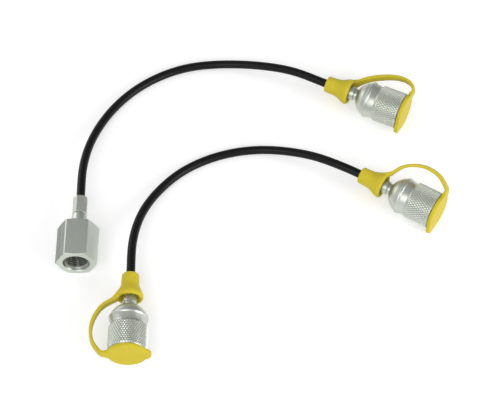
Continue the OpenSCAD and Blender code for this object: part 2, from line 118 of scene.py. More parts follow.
# Stations along the gauge adapter's axis, in mm from its ferrule's hose end. The hexagon is
# drawn 2 mm longer at its front than in the CAD model.
GAUGE_GRIP = 10
COLLAR_BACK_G = 11.85
HEX_BACK, HEX_FRONT = 20.35, 44.35
PORT_BACK, PORT_THREAD_BACK, PORT_THREAD_FRONT = 27.35, 30.35, 42.35


def placed(fitting, roll=0):
    """Matrix from a fitting's own millimetres to its place in the frame, in metres."""
    return (
        Matrix.Translation(Vector((fitting.x, fitting.y, fitting.height)) * MM)
        @ Matrix.Rotation(math.radians(fitting.heading), 4, "Z")
        @ Matrix.Rotation(math.radians(90), 4, "Y")
        @ Matrix.Rotation(math.radians(180 + roll), 4, "Z")
        @ Matrix.Scale(MM, 4)
    )


def on_axis(fitting, station):
    """Point on a fitting's axis, in mm."""
    turn = math.radians(fitting.heading)
    return (fitting.x + station * math.cos(turn), fitting.y + station * math.sin(turn),
            fitting.height)


print("Headings in degrees:", {f.name: f.heading for f in (GAUGE, *COUPLINGS)})

# %% [markdown]
# ## Node trees
# Materials and Geometry Nodes are both trees of nodes. Written out in full, a tree takes
# a line for each node, each setting and each link. This small helper adds a node, sets it
# and feeds its inputs in one call, so that a tree reads from its first node to its last.

# %% Helper for node trees
class Graph:
    """Adds nodes to a tree. An input is fed a number, or the socket that it is linked to."""

    def __init__(self, tree):
        self.tree = tree

    def feed(self, socket, value):
        if isinstance(value, bpy.types.NodeSocket):
            self.tree.links.new(value, socket)
        else:
            socket.default_value = value

    def add(self, kind, inputs=None, **settings):
        node = self.tree.nodes.new(kind)
        for key, value in settings.items():
            setattr(node, key, value)
        for key, value in (inputs or {}).items():
            self.feed(node.inputs[key], value)
        return node

    def math(self, operation, *values):
        node = self.add("ShaderNodeMath", operation=operation)
        for socket, value in zip(node.inputs, values):
            self.feed(socket, value)
        return node.outputs[0]

    def mix_colour(self, share, first, second):
        node = self.add("ShaderNodeMix", data_type="RGBA")
        self.feed(node.inputs["Factor"], share)
        self.feed(node.inputs[6], (*first, 1))
        self.feed(node.inputs[7], (*second, 1))
        return node.outputs[2]

    def remap(self, value, low, high):
        """A value from 0 to 1 brought into the range from low to high."""
        node = self.add("ShaderNodeMapRange", {"Value": value, "To Min": low, "To Max": high})
        return node.outputs[0]

    def shade_where(self, mask, shade):
        """The shade where the mask is 1, and 1 where it is 0."""
        return self.math("MULTIPLY_ADD", mask, self.math("SUBTRACT", shade, 1.0), 1.0)

    def pattern(self, vector, scale, detail=2.0):
        """Soft random patches from 0 to 1."""
        node = self.add("ShaderNodeTexNoise", {
            "Vector": vector, "Scale": scale, "Detail": detail})
        return node.outputs["Fac"]

    def stretched(self, vector, scale):
        return self.add("ShaderNodeMapping", {"Vector": vector, "Scale": scale}).outputs[0]

    def own_place(self):
        return self.add("ShaderNodeTexCoord").outputs["Object"]


class Finish(Graph):
    """A material's tree, with its Principled shader ready for colour, gloss and grain."""

    def __init__(self, name, metallic=0.0, specular=0.5):
        self.material = bpy.data.materials.new(name)
        self.material.use_nodes = True
        super().__init__(self.material.node_tree)
        self.shader = self.tree.nodes["Principled BSDF"]
        self.shader.inputs["Metallic"].default_value = metallic
        self.shader.inputs["Specular IOR Level"].default_value = specular

    def paint(self, colour, roughness):
        self.feed(self.shader.inputs["Base Color"], colour)
        self.feed(self.shader.inputs["Roughness"], roughness)

    def bump(self, height, distance, strength=1.0, under=None):
        node = self.add("ShaderNodeBump", {
            "Height": height, "Distance": distance, "Strength": strength})
        if under is not None:
            self.feed(node.inputs["Normal"], under)
        self.feed(self.shader.inputs["Normal"], node.outputs["Normal"])
        return node.outputs["Normal"]


print("Helpers for node trees:", Graph.__name__, Finish.__name__)

# %% [markdown]
# ## Finishes: plated steel
# The metal is free-cutting steel, turned or drawn, with a thin bright zinc plating. The
# plating is never quite even: its grey drifts between slightly warm and slightly cool,
# and it keeps the marks of the tool under it. A turned part has rings round its axis, and
# a drawn hexagon has straight lines along it. A Mapping node turned like the fitting gives
# the material the fitting's own millimetres, so the marks follow the real axis.
# Some places have light or shade painted into their colour. The tips of the knurl's teeth
# are painted lighter, as a painted highlight. Deep in the gauge port the plating is painted
# darker, as painted shade in the hollow. The hexagon's left flat has streaks along it like
# the drawing die's, and is painted darker with them, as painted shade for what it reflects.
# The right flat is painted lighter, as a painted reflection. A rule on station and radius
# gives these shades, and needs no image map.

# %% Plated steel
GRIP_R, KNURL_DEPTH = 11.0, 0.45
GRIP_BACK = NUT_FRONT - 15
# Painted light and shade: lighter knurl tips, a darker port, a darker streaked left flat and
# a lighter right flat
TIP_PAINTED_HIGHLIGHT = 1.25
PORT_MOUTH_R, PORT_PAINTED_SHADE = 7.8, 0.52
FLAT_EDGE, STREAKS_AND_PAINTED_SHADES, RIGHT_FLAT_PAINTED_LIGHT = 6.6, (0.25, 0.68), 1.2
STEEL_ROUGHNESS = 0.3, 0.5
ZINC = (0.51, 0.545, 0.50), (0.58, 0.60, 0.54)
DRAWN_ZINC = (0.555, 0.605, 0.55), (0.585, 0.63, 0.565)
TURNED_LINES, DRAWN_LINES = (0.02, 0.02, 3.2), (2.4, 2.4, 0.03)


def own_millimetres(graph, fitting):
    """Object coordinates turned into a fitting's own millimetres."""
    matrix = placed(fitting)
    mapping = graph.add("ShaderNodeMapping", {"Vector": graph.own_place()},
                        vector_type="TEXTURE")
    mapping.inputs["Location"].default_value = matrix.to_translation()
    mapping.inputs["Rotation"].default_value = matrix.to_euler()
    mapping.inputs["Scale"].default_value = (MM, MM, MM)
    return mapping.outputs["Vector"]


def axes_and_radius(graph, place):
    """A fitting's own X, Y and Z, and the distance from its axis."""
    axes = graph.add("ShaderNodeSeparateXYZ", {"Vector": place}).outputs
    flat = graph.add("ShaderNodeCombineXYZ", {"X": axes["X"], "Y": axes["Y"]})
    length = graph.add("ShaderNodeVectorMath", {0: flat.outputs["Vector"]},
                       operation="LENGTH")
    return axes, length.outputs["Value"]


def knurl_painted_highlight(graph, place):
    """Painted highlight on the tips of the knurl's teeth, told by the radius."""
    axes, radius = axes_and_radius(graph, place)
    # Painted highlight: the colour grows lighter from the roots of the teeth to their tips
    tip = graph.add("ShaderNodeMapRange", {
        "Value": radius, "From Min": GRIP_R - KNURL_DEPTH, "From Max": GRIP_R - 0.05,
        "To Min": 1.0, "To Max": TIP_PAINTED_HIGHLIGHT}).outputs[0]
    on_grip = graph.math("MULTIPLY", graph.math("GREATER_THAN", axes["Z"], GRIP_BACK + 0.2),
                         graph.math("GREATER_THAN", radius, GRIP_R - KNURL_DEPTH - 0.1))
    return graph.shade_where(on_grip, tip)


def adapter_painted_shades(graph, place):
    """Painted shade in the port and, in streaks, on the left flat; the right flat painted
    lighter.
    """
    axes, radius = axes_and_radius(graph, place)
    # Painted shade: the walls deep inside the port are painted darker
    inside = graph.math("MULTIPLY", graph.math("GREATER_THAN", axes["Z"], PORT_BACK - 0.5),
                        graph.math("LESS_THAN", radius, PORT_MOUTH_R - 0.2))
    # The left flat is painted darker in streaks: streaks like the drawing die's, and painted
    # shade for what it reflects
    streaks_and_painted_shade = graph.remap(graph.pattern(graph.stretched(place, (0.9, 0.9, 0.02)), 1.0),
                          *STREAKS_AND_PAINTED_SHADES)
    flats = graph.math("LESS_THAN", axes["Z"], HEX_FRONT - 0.35)
    left = graph.math("MULTIPLY", graph.math("GREATER_THAN", axes["Y"], FLAT_EDGE), flats)
    # Painted reflection: the right flat is painted lighter
    right = graph.math("MULTIPLY", graph.math("LESS_THAN", axes["Y"], -FLAT_EDGE), flats)
    outside = graph.math("MULTIPLY", graph.shade_where(left, streaks_and_painted_shade),
                         graph.shade_where(right, RIGHT_FLAT_PAINTED_LIGHT))
    return graph.math("MULTIPLY", graph.shade_where(inside, PORT_PAINTED_SHADE), outside)


def plated_steel(name, fitting, lines=TURNED_LINES, tint=ZINC, shade=None):
    """Plating over turned rings or drawn lines, with painted light or shade that depends on
    the place.
    """
    finish = Finish(name, metallic=1.0)
    place = own_millimetres(finish, fitting)
    marks = finish.pattern(finish.stretched(place, lines), 2.0, detail=4.0)
    clouds = finish.pattern(place, 0.22, detail=3.0)
    grit = finish.pattern(place, 5.0)
    colour = finish.mix_colour(clouds, *tint)
    if shade:
        shaded = finish.add("ShaderNodeVectorMath", {0: colour}, operation="SCALE")
        finish.feed(shaded.inputs["Scale"], shade(finish, place))
        colour = shaded.outputs["Vector"]
    wear = finish.math("MULTIPLY_ADD", clouds, 0.45, finish.math(
        "MULTIPLY_ADD", marks, 0.35, finish.math("MULTIPLY", grit, 0.2)))
    finish.paint(colour, finish.remap(wear, *STEEL_ROUGHNESS))
    fine = finish.bump(marks, 0.012 * MM, 0.6)
    finish.bump(grit, 0.006 * MM, 0.5, under=fine)
    return finish.material


steel = {f.name: plated_steel(f"plated_steel_{f.name}", f) for f in (GAUGE, *COUPLINGS)}
knurled_steel_painted_tips = {f.name: plated_steel(f"knurled_steel_{f.name}", f, shade=knurl_painted_highlight)
                 for f in COUPLINGS}
drawn_steel = plated_steel("plated_steel_hexagon", GAUGE, DRAWN_LINES, DRAWN_ZINC,
                           adapter_painted_shades)
print("Steels:", [m.name for m in (*steel.values(), *knurled_steel_painted_tips.values(), drawn_steel)])

# %% [markdown]
# ## Finishes: yellow moulding, hose and rubber
# The mouldings are soft PVC. Its yellow is dyed through, so it shows only faint clouds
# and the slightly matt skin that the mould leaves. The hose cover is extruded
# polyurethane: near black, satin, with faint lines along it from the die. The lines need
# to know what is along and what is round, so this material reads the tube's own UV map.

# %% Plastics and rubber
YELLOWS = (0.585, 0.475, 0.028), (0.66, 0.54, 0.042)
COVER_BLACKS = (0.002, 0.002, 0.0022), (0.005, 0.005, 0.0054)
YARNS = (0.30, 0.24, 0.10), (0.72, 0.62, 0.36)


def mean(graph, first, second):
    return graph.math("MULTIPLY", graph.math("ADD", first, second), 0.5)


def moulded_yellow():
    finish = Finish("yellow_plastic", specular=0.12)
    place = finish.own_place()
    clouds = finish.pattern(place, 160.0, detail=3.0)
    skin = finish.pattern(place, 2600.0, detail=3.0)
    finish.paint(finish.mix_colour(clouds, *YELLOWS),
                 finish.remap(mean(finish, clouds, skin), 0.34, 0.56))
    finish.bump(skin, 0.02 * MM, 0.35)
    return finish.material


def extruded_cover():
    finish = Finish("hose_cover", specular=0.2)
    along_round = finish.add("ShaderNodeUVMap", uv_map="route").outputs["UV"]
    lines = finish.pattern(finish.stretched(along_round, (60.0, 1.0, 1.0)), 1.0, detail=3.0)
    place = finish.own_place()
    clouds = finish.pattern(place, 90.0)
    finish.paint(finish.mix_colour(clouds, *COVER_BLACKS),
                 finish.remap(mean(finish, clouds, lines), 0.28, 0.46))
    under = finish.bump(lines, 0.03 * MM, 0.5)
    finish.bump(finish.pattern(place, 1800.0), 0.02 * MM, 0.3, under=under)
    return finish.material


def woven_braid():
    """Two families of strands that cross, drawn as waves on the tube's own UV map."""
    finish = Finish("textile_braid", specular=0.3)
    along_round = finish.add("ShaderNodeUVMap", uv_map="route").outputs["UV"]
    axes = finish.add("ShaderNodeSeparateXYZ", {"Vector": along_round})
    turns = finish.math("MULTIPLY", axes.outputs["X"], 12.0 * math.tau)
    run = finish.math("MULTIPLY", axes.outputs["Y"], 9.0 * math.tau)
    left = finish.math("SINE", finish.math("ADD", turns, run))
    right = finish.math("SINE", finish.math("SUBTRACT", turns, run))
    weave = finish.math("MULTIPLY_ADD", finish.math("MAXIMUM", left, right), 0.5, 0.5)
    finish.paint(finish.mix_colour(weave, *YARNS), finish.remap(weave, 0.8, 0.55))
    finish.bump(weave, 0.1 * MM)
    return finish.material


def plain_polymer(name, dark, light, roughness, grain):
    """Core tube and seals: two close shades, with a grain of that many patches a metre."""
    finish = Finish(name, specular=0.4)
    clouds = finish.pattern(finish.own_place(), grain, detail=3.0)
    finish.paint(finish.mix_colour(clouds, dark, light), finish.remap(clouds, *roughness))
    finish.bump(clouds, 0.01 * MM, 0.4)
    return finish.material


yellow_plastic = moulded_yellow()
hose_cover = extruded_cover()
braid = woven_braid()
core_tube = plain_polymer("core_tube", (0.62, 0.61, 0.55), (0.74, 0.73, 0.68),
                          (0.3, 0.45), 300.0)
seal_rubber = plain_polymer("seal_rubber", (0.012, 0.012, 0.013), (0.03, 0.03, 0.032),
                            (0.45, 0.65), 900.0)
print("Polymers:", [m.name for m in (yellow_plastic, hose_cover, braid, core_tube,
                                     seal_rubber)])

# %% [markdown]
# ## Hoses
# A test hose is a thin core tube, a textile braid and a tough cover. The hose bends freely
# between its two ferrules, so its shape is one smooth curve of fixed length. The route's
# points are those of the CAD model. A spline with steady curvature goes through them, and
# each layer is a tube swept along it. Sweeping in code gives the three layers one common
# route and a UV map that knows the length. A curve object with a bevel would also do for
# the cover, but it has no wall.

# %% Routes and lengths
HOSE_OD, HOSE_BORE = 5.0, 2.0
CORE_WALL, BRAID_WALL, LAYER_GAP = 0.8, 0.25, 0.05
LEAD = 3.5
STEP = 2.0

GAUGE_ROUTE = [
    on_axis(GAUGE, GAUGE_GRIP), on_axis(GAUGE, -LEAD),
    (-100.5, 27.5, 9.8), (-98.5, 44.5, 7.7), (-93.5, 62, 4.8), (-85, 78.5, 3),
    (-73, 92.5, 2.6), (-58.5, 103, 2.6), (-42, 110, 2.6), (-24.5, 112.5, 3),
    (-7, 111, 5), (10, 106.5, 8.3), (26, 100.3, 10.7),
    on_axis(UPPER, -LEAD), on_axis(UPPER, HOSE_STOP),
]
LINK_ROUTE = [
    on_axis(FRONT, HOSE_STOP), on_axis(FRONT, -LEAD),
    (-69.5, -26.5, 10.8), (-68, -12, 9), (-63.5, 4, 6), (-55.5, 18.5, 3.6),
    (-43.5, 31.5, 2.7), (-29, 40.5, 2.6), (-13, 46, 2.7), (4, 47.5, 3.6),
    (21, 44.5, 6), (36.5, 38.5, 9), (49.5, 31.5, 10.8),
    on_axis(RIGHT, -LEAD), on_axis(RIGHT, HOSE_STOP),
]


def natural_spline(points, step):
    """Points every step along the cubic spline through the given ones."""
    points = np.array(points, float)
    chords = np.linalg.norm(np.diff(points, axis=0), axis=1)
    knots = np.concatenate([[0], np.cumsum(chords)])
    count = len(points)
    system, right = np.eye(count), np.zeros((count, 3))
    for i in range(1, count - 1):
        before, after = chords[i - 1], chords[i]
        system[i, i - 1:i + 2] = before, 2 * (before + after), after
        slopes = (points[i + 1] - points[i]) / after - (points[i] - points[i - 1]) / before
        right[i] = 6 * slopes
    bend = np.linalg.solve(system, right)
    at = np.linspace(0, knots[-1], int(knots[-1] / step) + 1)
    cell = np.clip(np.searchsorted(knots, at, side="right") - 1, 0, count - 2)
    width = chords[cell][:, None]
    t = ((at - knots[cell])[:, None]) / width
    s = 1 - t
    return (s * points[cell] + t * points[cell + 1]
            + ((s ** 3 - s) * bend[cell] + (t ** 3 - t) * bend[cell + 1]) * width ** 2 / 6)


def distances(line):
    """How far along a line each of its points is."""
    steps = np.linalg.norm(np.diff(line, axis=0), axis=1)
    return np.concatenate([[0], np.cumsum(steps)])


def length_of(line):
    return float(distances(line)[-1])


gauge_line = natural_spline(GAUGE_ROUTE, STEP)
link_line = natural_spline(LINK_ROUTE, STEP)
print("Cut lengths in mm:", [round(length_of(line), 1) for line in (gauge_line, link_line)])

# %% Sweep the layers of a hose
HOSE_SIDES = 32


def as_object(name, mesh, material, matrix=None, sharp_deg=None):
    """Puts a finished mesh in the scene: placed, smooth, with sharp edges kept."""
    if matrix is not None:
        mesh.transform(matrix)
    mesh.shade_smooth()
    if sharp_deg is not None:
        mesh.set_sharp_from_angle(angle=math.radians(sharp_deg))
    mesh.materials.clear()
    mesh.materials.append(material)
    return in_scene(name, mesh)


def swept_layer(name, line, inner, outer):
    """A tube with a bore along a line in mm, closed at both ends, with a UV map."""
    line = np.array(line)
    ways = np.gradient(line, axis=0)
    ways /= np.linalg.norm(ways, axis=1)[:, None]
    sides = np.cross(ways, (0, 0, 1))
    sides /= np.linalg.norm(sides, axis=1)[:, None]
    ups = np.cross(sides, ways)
    turn = np.arange(HOSE_SIDES) * math.tau / HOSE_SIDES
    spokes = (np.cos(turn)[None, :, None] * sides[:, None]
              + np.sin(turn)[None, :, None] * ups[:, None])
    rings = [(line[:, None] + radius * spokes).reshape(-1, 3) for radius in (outer, inner)]
    count, n = len(line), HOSE_SIDES
    run = distances(line)
    faces, corners = [], []
    for i in range(count - 1):
        for k in range(n):
            a, b = i * n + k, i * n + (k + 1) % n
            for first, second in ((a, b), (count * n + b, count * n + a)):
                faces.append((first, second, second + n, first + n))
                start, end = (k, k + 1) if first == a else (k + 1, k)
                corners += [(start / n, run[i]), (end / n, run[i]),
                            (end / n, run[i + 1]), (start / n, run[i + 1])]
    for k in range(n):
        j, last = (k + 1) % n, (count - 1) * n
        faces.append((j, k, count * n + k, count * n + j))
        faces.append((last + k, last + j, count * n + last + j, count * n + last + k))
        corners += [(k / n, 0.0)] * 4 + [(k / n, run[-1])] * 4
    mesh = bpy.data.meshes.new(name)
    mesh.from_pydata([tuple(p * MM) for ring in rings for p in ring], [], faces)
    uv = mesh.uv_layers.new(name="route")
    uv.data.foreach_set("uv", np.array(corners, np.float32).ravel())
    return mesh


def hose(prefix, line):
    """The three layers of one hose."""
    core_r = HOSE_BORE / 2 + CORE_WALL
    braid_r = core_r + LAYER_GAP + BRAID_WALL
    layers = [
        ("core", HOSE_BORE / 2, core_r, core_tube, "core_tube"),
        ("braid", core_r + LAYER_GAP, braid_r, braid, "braid"),
        ("cover", braid_r + LAYER_GAP, HOSE_OD / 2, hose_cover, "hose_cover"),
    ]
    for layer, inner, outer, material, slot in layers:
        node = f"{prefix}_{layer}"
        piece = as_object(node + "_tube", swept_layer(node + "_tube", line, inner, outer),
                          material, sharp_deg=60)
        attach(piece, "hoses")
        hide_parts(node)


hose("gauge_hose", gauge_line)
hose("link_hose", link_line)

# %% [markdown]
# ## Turned parts
# A lathe makes a part from one outline, so the outline is all that has to be drawn: a list
# of corners, each with the radius that the tool leaves there. No real edge is perfectly
# sharp, and it is the small radius that catches the light. The outline is then turned
# round the axis. Steps that aren't round, such as a hexagon, come from an outline whose
# radius changes with the angle, which is like holding a file against the turning part.

# %% Outlines and rings
SIDES = 96


def rounded(corners, steps=3):
    """Outline points from (radius, station, fillet) corners: a fillet becomes an arc."""
    points = []
    count = len(corners)
    for i, (r, z, fillet) in enumerate(corners):
        here = np.array((r, z), float)
        if not fillet:
            points.append(here)
            continue
        before = np.array(corners[i - 1][:2], float) - here
        after = np.array(corners[(i + 1) % count][:2], float) - here
        reach = min(fillet, 0.45 * np.linalg.norm(before), 0.45 * np.linalg.norm(after))
        start = here + before / np.linalg.norm(before) * reach
        end = here + after / np.linalg.norm(after) * reach
        for t in np.linspace(0, 1, steps + 1):
            points.append((1 - t) ** 2 * start + 2 * t * (1 - t) * here + t * t * end)
    return points


def arc(centre, radius, start, end, steps):
    """Points on an arc, angles in degrees."""
    return [(centre[0] + radius * math.cos(math.radians(a)),
             centre[1] + radius * math.sin(math.radians(a)))
            for a in np.linspace(start, end, steps + 1)]


def bulged(first, second, rise, steps=8):
    """Points of a slightly convex edge between two corners, without its ends."""
    first, second = np.array(first, float), np.array(second, float)
    way = second - first
    out = np.array((way[1], -way[0])) / np.linalg.norm(way)
    return [tuple(first + way * t + out * rise * 4 * t * (1 - t)) + (0,)
            for t in np.linspace(0, 1, steps + 1)[1:-1]]


def mesh_of_rings(name, rings, closed):
    """Skin over rings of points; a closed one joins its last ring to its first."""
    n, count = len(rings[0]), len(rings)
    faces = []
    for i in range(count if closed else count - 1):
        for k in range(n):
            j, after = (k + 1) % n, (i + 1) % count
            faces.append((i * n + k, i * n + j, after * n + j, after * n + k))
    mesh = bpy.data.meshes.new(name)
    mesh.from_pydata([tuple(p) for ring in rings for p in ring], [], faces)
    return mesh


def turned(name, outline, closed=True, sides=SIDES):
    """Skin that an outline of (radius, station) points leaves when it turns."""
    turn = [k * math.tau / sides for k in range(sides)]
    rings = [[(p[0] * math.cos(a), p[0] * math.sin(a), p[1]) for a in turn]
             for p in outline]
    return mesh_of_rings(name, rings, closed)


def joined(name, meshes, merge=1e-4, recalculate=True):
    """One mesh from several, with touching points merged and faces turned outwards."""
    bm = bmesh.new()
    for mesh in meshes:
        bm.from_mesh(mesh)
    bmesh.ops.remove_doubles(bm, verts=bm.verts, dist=merge)
    if recalculate:
        bmesh.ops.recalc_face_normals(bm, faces=bm.faces)
    result = bpy.data.meshes.new(name)
    bm.to_mesh(result)
    bm.free()
    return result


def capped(name, rings):
    """Closed solid: the skin over some rings, with both ends filled."""
    mesh = mesh_of_rings(name, rings, closed=False)
    bm = bmesh.new()
    bm.from_mesh(mesh)
    bmesh.ops.holes_fill(bm, edges=bm.edges, sides=0)
    bmesh.ops.recalc_face_normals(bm, faces=bm.faces)
    bm.to_mesh(mesh)
    bm.free()
    return mesh


def applied(host):
    """The plain mesh that an object's modifiers make. The object itself goes."""
    mesh = bpy.data.meshes.new_from_object(
        host.evaluated_get(bpy.context.evaluated_depsgraph_get()))
    bpy.data.objects.remove(host)
    return mesh


def flats_radius(angle, flats, across, corner):
    """Radius at an angle of a polygon that is across its flats, with rounded corners."""
    half = math.pi / flats
    turn = abs((angle + half) % (2 * half) - half)
    inner = across / 2 - corner
    tangent = math.atan(inner * math.tan(half) / (across / 2))
    if turn <= tangent:
        return across / 2 / math.cos(turn)
    centre, off = inner / math.cos(half), half - turn
    return centre * math.cos(off) + math.sqrt(corner ** 2 - (centre * math.sin(off)) ** 2)


def flats_angles(flats, across, corner):
    """Angles for a polygon's columns: few on the flats, close together at the corners."""
    half = math.pi / flats
    tangent = math.atan((across / 2 - corner) * math.tan(half) / (across / 2))
    first = [tangent * share for share in (0, 0.25, 0.5, 0.72, 0.88, 1)]
    first += list(np.linspace(tangent, half, 4)[1:])
    side = [-a for a in first[:0:-1]] + first[:-1]
    return [2 * half * i + a for i in range(flats) for a in side]


print("Columns round a hexagon:", len(flats_angles(6, 1, 0.1)))

# %% [markdown]
# ## Threads and knurl
# Both follow a rule, so Geometry Nodes make them. The thread starts as a flat grid. Set
# Position rolls the grid into a tube and pushes every point out by the thread's flank,
# whose phase runs once round for each pitch along. That is the same rule as a tap's. It
# fades in and out at its ends, as a cut thread does.
# The knurl is one small truncated pyramid, set on points in rows round the grip. Every
# second row is shifted by half a tooth, which leaves the crossing grooves between them.
# A bump map would be lighter, but it wouldn't show on the grip's outline.

# %% Helpers for Geometry Nodes
def new_generator(name, sizes):
    """A geometry tree with its output and named inputs; sizes is {name: (type, value)}."""
    tree = bpy.data.node_groups.new(name, "GeometryNodeTree")
    tree.interface.new_socket("Geometry", in_out="OUTPUT", socket_type="NodeSocketGeometry")
    for title, (kind, value) in sizes.items():
        socket = tree.interface.new_socket(title, in_out="INPUT", socket_type=kind)
        if value is not None:
            socket.default_value = value
    graph = Graph(tree)
    source = graph.add("NodeGroupInput")
    return tree, graph, source.outputs


def finish_tree(graph, geometry, material):
    """Ends a tree: real geometry with its material."""
    real = graph.add("GeometryNodeRealizeInstances", {"Geometry": geometry})
    painted = graph.add("GeometryNodeSetMaterial", {
        "Geometry": real.outputs["Geometry"], "Material": material})
    end = graph.add("NodeGroupOutput")
    graph.tree.links.new(painted.outputs["Geometry"], end.inputs["Geometry"])


def grown(name, tree, **values):
    """The plain mesh that a tree makes with these inputs; names have _ for a space."""
    host = in_scene(name, bpy.data.meshes.new(name))
    modifier = host.modifiers.new("generator", "NODES")
    modifier.node_group = tree
    sockets = {item.name.lower().replace(" ", "_"): item.identifier
               for item in tree.interface.items_tree if item.in_out == "INPUT"}
    for key, value in values.items():
        modifier[sockets[key]] = value
    return applied(host)


print("Helpers for generators:", [f.__name__ for f in (new_generator, finish_tree, grown)])

# %% Thread generator
def thread_tree():
    tree, graph, given = new_generator("inside_thread", {
        "Minor radius": ("NodeSocketFloat", 6.9),
        "Depth": ("NodeSocketFloat", 1.0),
        "Pitch": ("NodeSocketFloat", 2.0),
        "Start": ("NodeSocketFloat", 0.0),
        "Length": ("NodeSocketFloat", 10.0),
        "Fade": ("NodeSocketFloat", 0.8),
        "Columns": ("NodeSocketInt", SIDES),
        "Rings": ("NodeSocketInt", 60),
        "Material": ("NodeSocketMaterial", None),
    })
    grid = graph.add("GeometryNodeMeshGrid", {
        "Size X": 1.0, "Size Y": 1.0,
        "Vertices X": graph.math("ADD", given["Columns"], 1),
        "Vertices Y": given["Rings"]})
    place = graph.add("ShaderNodeSeparateXYZ", {
        "Vector": graph.add("GeometryNodeInputPosition").outputs["Position"]})
    around = graph.math("ADD", place.outputs["X"], 0.5)
    along = graph.math("MULTIPLY", graph.math("ADD", place.outputs["Y"], 0.5),
                       given["Length"])
    station = graph.math("ADD", along, given["Start"])
    phase = graph.math("FRACT", graph.math(
        "SUBTRACT", graph.math("DIVIDE", station, given["Pitch"]), around))
    ridge = graph.math("ABSOLUTE", graph.math("MULTIPLY_ADD", phase, 2.0, -1.0))
    # A quarter of the pitch is crest and an eighth is root
    flank = graph.add("ShaderNodeMapRange", {
        "Value": ridge, "From Min": 0.25, "From Max": 0.875}).outputs[0]
    to_end = graph.math("MINIMUM", along, graph.math("SUBTRACT", given["Length"], along))
    fade = graph.add("ShaderNodeMapRange", {
        "Value": to_end, "From Min": 0.0, "From Max": given["Fade"]},
        interpolation_type="SMOOTHSTEP").outputs[0]
    cut = graph.math("MULTIPLY", graph.math("MULTIPLY", flank, fade), given["Depth"])
    radius = graph.math("ADD", given["Minor radius"], cut)
    angle = graph.math("MULTIPLY", around, math.tau)
    rolled = graph.add("ShaderNodeCombineXYZ", {
        "X": graph.math("MULTIPLY", radius, graph.math("COSINE", angle)),
        "Y": graph.math("MULTIPLY", radius, graph.math("SINE", angle)),
        "Z": station})
    wall = graph.add("GeometryNodeSetPosition", {
        "Geometry": grid.outputs["Mesh"], "Position": rolled.outputs["Vector"]})
    closed = graph.add("GeometryNodeMergeByDistance", {
        "Geometry": wall.outputs["Geometry"], "Distance": 1e-4})
    finish_tree(graph, closed.outputs["Geometry"], given["Material"])
    return tree


inside_thread = thread_tree()
print("Thread generator has", len(inside_thread.nodes), "nodes")

# %% Knurl generator
def knurl_tree():
    tree, graph, given = new_generator("diamond_knurl", {
        "Radius": ("NodeSocketFloat", 10.6),
        "Height": ("NodeSocketFloat", 0.4),
        "Teeth": ("NodeSocketInt", 60),
        "Rows": ("NodeSocketInt", 14),
        "Start": ("NodeSocketFloat", 0.0),
        "Row step": ("NodeSocketFloat", 1.0),
        "Material": ("NodeSocketMaterial", None),
    })
    count = graph.math("MULTIPLY", given["Teeth"], given["Rows"])
    points = graph.add("GeometryNodePoints", {"Count": count})
    index = graph.add("GeometryNodeInputIndex").outputs["Index"]
    row = graph.math("FLOOR", graph.math("DIVIDE", index, given["Teeth"]))
    column = graph.math("MODULO", index, given["Teeth"])
    shift = graph.math("MULTIPLY", graph.math("MODULO", row, 2.0), 0.5)
    share = graph.math("DIVIDE", graph.math("ADD", column, shift), given["Teeth"])
    angle = graph.math("MULTIPLY", share, math.tau)
    place = graph.add("ShaderNodeCombineXYZ", {
        "X": graph.math("MULTIPLY", given["Radius"], graph.math("COSINE", angle)),
        "Y": graph.math("MULTIPLY", given["Radius"], graph.math("SINE", angle)),
        "Z": graph.math("MULTIPLY_ADD", row, given["Row step"], given["Start"])})
    rows = graph.add("GeometryNodeSetPosition", {
        "Geometry": points.outputs[0], "Position": place.outputs["Vector"]})
    tooth = graph.add("GeometryNodeMeshCone", {
        "Vertices": 4, "Radius Top": 0.42, "Radius Bottom": 1.0, "Depth": given["Height"]})
    half_width = graph.math("DIVIDE", graph.math(
        "MULTIPLY", given["Radius"], math.pi), given["Teeth"])
    size = graph.add("ShaderNodeCombineXYZ", {
        "X": half_width, "Y": given["Row step"], "Z": 1.0})
    diamond = graph.add("GeometryNodeTransform", {
        "Geometry": tooth.outputs["Mesh"], "Scale": size.outputs["Vector"]})
    # A tooth stands out from the axis, with its long side along it
    facing = graph.add("ShaderNodeCombineXYZ", {
        "X": math.pi / 2, "Z": graph.math("ADD", angle, math.pi / 2)})
    turn = graph.add("FunctionNodeEulerToRotation", {"Euler": facing.outputs["Vector"]})
    teeth = graph.add("GeometryNodeInstanceOnPoints", {
        "Points": rows.outputs["Geometry"], "Instance": diamond.outputs["Geometry"],
        "Rotation": turn.outputs["Rotation"]})
    finish_tree(graph, teeth.outputs["Instances"], given["Material"])
    return tree


diamond_knurl = knurl_tree()
print("Knurl generator has", len(diamond_knurl.nodes), "nodes")

# %% [markdown]
# ## Union nuts
# The nut turns on the stem's journal and pulls the stem's nose into a test point. Behind
# its knurled grip are a waist, a narrow crest and a stepped dome, all turned in one
# setting. Inside are the groove of the snap ring, a runout and an M16x2 thread. The
# outline runs once round the section, and leaves out the stretch that the thread fills.

# %% Union nut
KNURL_TEETH, KNURL_ROWS, KNURL_STEP = 46, 11, 1.26
RIDGE_BACK = NUT_BACK + 6.4
RIDGE_FRONT = RIDGE_BACK + 2
M16_MINOR_R, M16_MAJOR_R, M16_PITCH = 6.92, 8.0, 2.0
MOUTH_R = 8.1
JOURNAL_HOLE_R = 4.4


